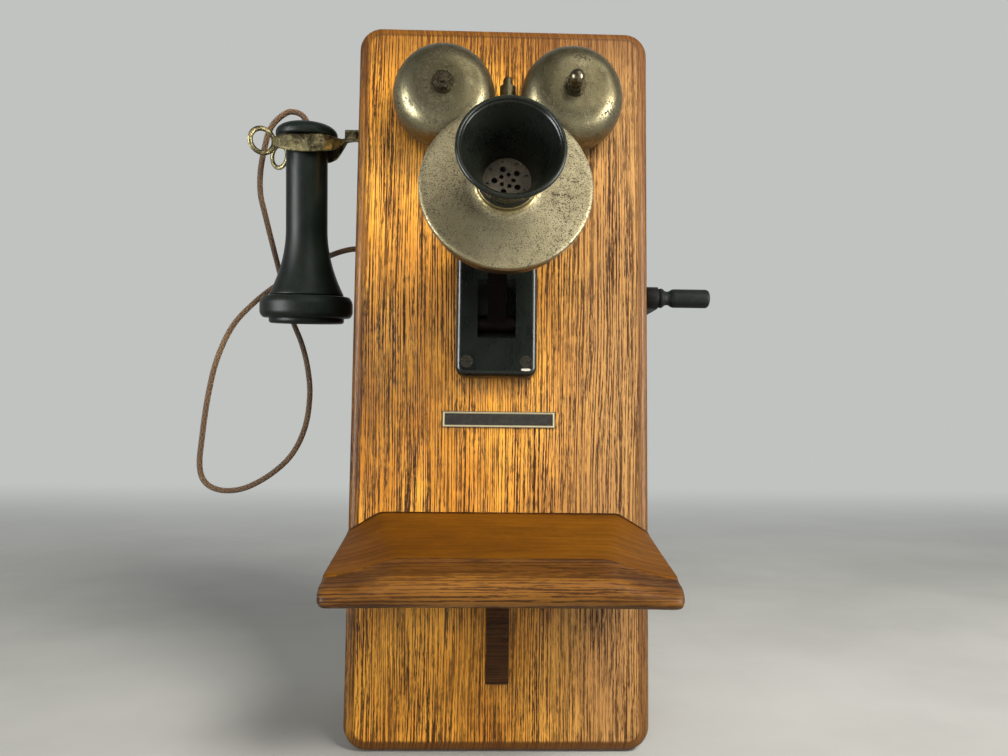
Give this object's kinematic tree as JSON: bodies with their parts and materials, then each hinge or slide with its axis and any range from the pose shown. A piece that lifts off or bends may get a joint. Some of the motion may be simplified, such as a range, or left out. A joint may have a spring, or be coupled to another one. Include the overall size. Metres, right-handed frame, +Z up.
{
  "type": "wall telephone",
  "caption": "Oak wall telephone with hinged door, external gongs, tilting mouthpiece, hook-hung receiver on a cord, hand-cranked magneto and a sloping writing shelf.",
  "frame": {"origin": "middle of the case's back face, on the wall", "axes": "+X to the right seen from the front, +Y into the wall, +Z up"},
  "size_m": [0.388, 0.2952, 0.499],
  "materials": {
    "oak": "varnished oak, strong grain",
    "dark_oak": "varnished dark oak",
    "inner_wood": "plain wood inside the case",
    "nickel": "aged nickel plate",
    "faceplate": "worn nickel on brass",
    "hook_metal": "tarnished brass",
    "japan": "glossy black japan",
    "hard_rubber": "polished black hard rubber",
    "grille": "dusty perforated metal",
    "brass": "plain brass",
    "steel": "plain steel",
    "iron": "dark iron",
    "magnet": "red lacquered magnet steel",
    "coil": "cotton-covered winding",
    "tin": "tinned steel can",
    "cell": "paper-wrapped dry cell",
    "cord": "brown braided cord",
    "plate": "dark plate with a light border"
  },
  "bodies": {
    "case": {"backboard": "inner_wood", "side_left": "dark_oak", "side_right": "dark_oak", "case_top": "dark_oak", "case_bottom": "dark_oak", "generator_shelf": "inner_wood", "hinge_leaves_case": "brass", "hinge_pins": "steel", "cord_bushing": "hard_rubber", "crank_bushing": "brass", "hook_frame": "brass", "hook_pin": "steel", "contact_springs": "brass", "generator_frame": "brass", "horseshoe_magnets": "magnet", "pole_shoes": "iron", "coil_bobbin": "inner_wood", "coil_winding": "coil", "condenser": "tin", "terminal_strip": "inner_wood", "terminal_posts": "brass", "dry_cells": "cell", "battery_cleat": "inner_wood", "door_catch": "brass", "cord_lower": "cord"},
    "crank": {"crank_shaft": "steel", "drive_gear": "brass", "crank_arm": "japan"},
    "crank_grip": {"crank_handle": "hard_rubber"},
    "armature": {"armature_core": "iron", "armature_winding": "coil", "armature_pinion": "brass"},
    "hook": {"hook_lever": "hook_metal", "hook_prongs": "hook_metal"},
    "receiver": {"receiver_shell": "hard_rubber", "receiver_cap": "hard_rubber", "receiver_diaphragm": "steel", "cord_upper": "cord"},
    "door": {"door": "oak", "hinge_leaves_door": "brass", "gong_left": "nickel", "gong_right": "nickel", "gong_posts": "nickel", "ringer_frame": "iron", "ringer_coils": "coil", "ringer_magnet": "magnet", "shelf": "dark_oak", "shelf_bracket": "dark_oak", "name_plate": "plate", "transmitter_bracket": "japan", "bracket_screws": "steel", "bracket_pin": "steel", "door_strike": "brass"},
    "clapper": {"clapper": "nickel"},
    "transmitter": {"transmitter_arm": "japan", "transmitter_cup": "japan", "transmitter_face": "faceplate", "mouthpiece": "hard_rubber", "mouthpiece_grille": "grille"}
  },
  "joints": [
    {"name": "door_hinge", "type": "hinge", "parent": "case", "child": "door", "pos_m": [-0.09978, -0.1228, 0], "axis": [0, 0, -1], "range_deg": [0, 95]},
    {"name": "transmitter_tilt", "type": "hinge", "parent": "door", "child": "transmitter", "pos_m": [-0.0034, -0.1543, 0.0355], "axis": [1, 0, 0], "range_deg": [-6, 30]},
    {"name": "clapper_swing", "type": "hinge", "parent": "door", "child": "clapper", "pos_m": [0.0026, -0.108, 0.157], "axis": [0, 1, 0], "range_deg": [-4, 4], "stiffness_Nm_per_rad": 0.06},
    {"name": "crank_turn", "type": "hinge", "parent": "case", "child": "crank", "pos_m": [0, -0.065, 0.0605], "axis": [1, 0, 0], "continuous": true},
    {"name": "grip_spin", "type": "hinge", "parent": "crank", "child": "crank_grip", "pos_m": [0.13, -0.125, 0.0605], "axis": [1, 0, 0], "continuous": true},
    {"name": "armature_spin", "type": "hinge", "parent": "case", "child": "armature", "pos_m": [0, -0.065, 0.0155], "axis": [1, 0, 0], "continuous": true},
    {"name": "receiver_lift", "type": "slide", "parent": "case", "child": "receiver", "axis": [-0.6, -0.0975, 0.794], "range_m": [0, 0.07]},
    {"name": "hook_swing", "type": "hinge", "parent": "case", "child": "hook", "pos_m": [-0.0605, -0.09, 0.1904], "axis": [0, 1, 0], "range_deg": [0, 8.2]}
  ],
  "couplings": [
    {"joint": "armature_spin", "follows": "crank_turn", "ratio": -5},
    {"joint": "hook_swing", "follows": "receiver_lift", "rad_per_m": 2}
  ]
}
